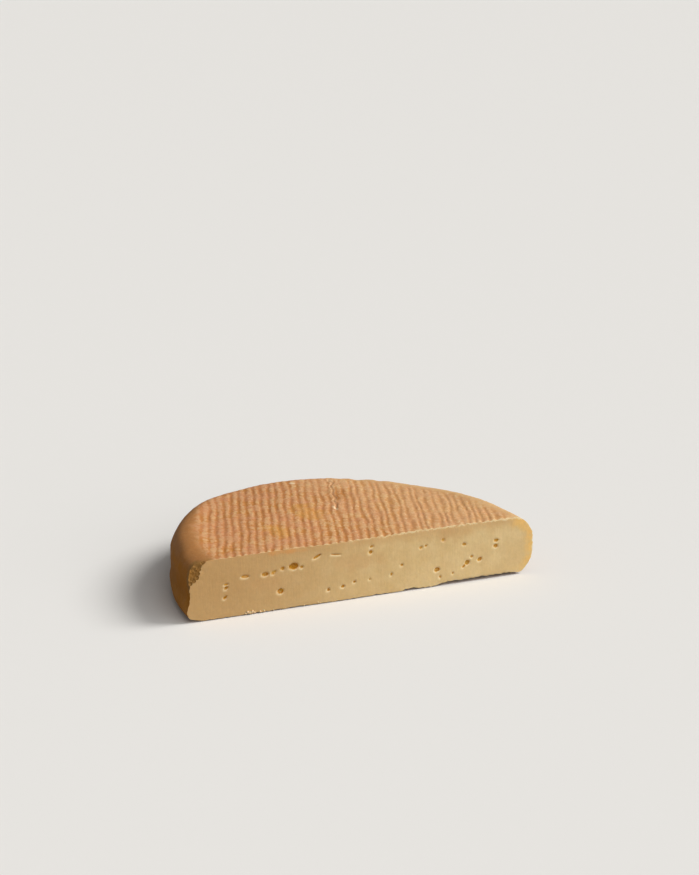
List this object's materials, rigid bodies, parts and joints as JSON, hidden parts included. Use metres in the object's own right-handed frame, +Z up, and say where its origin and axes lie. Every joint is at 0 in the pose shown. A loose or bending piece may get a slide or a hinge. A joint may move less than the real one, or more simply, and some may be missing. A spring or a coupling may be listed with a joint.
{
  "type": "munster cheese",
  "caption": "Half wheel of washed-rind soft cheese: grooved orange rind, rounded rims, pale cut face with small eyes.",
  "frame": {"origin": "on the underside, at the middle of the half wheel's bounding box", "axes": "+X along the cut, +Y from the cut face to the back of the rim, +Z up"},
  "size_m": [0.176, 0.1126, 0.0288],
  "materials": {
    "cheese": "satin cream-yellow paste with a matt orange washed rind"
  },
  "bodies": {
    "root": {"half_wheel": "cheese"}
  },
  "joints": []
}
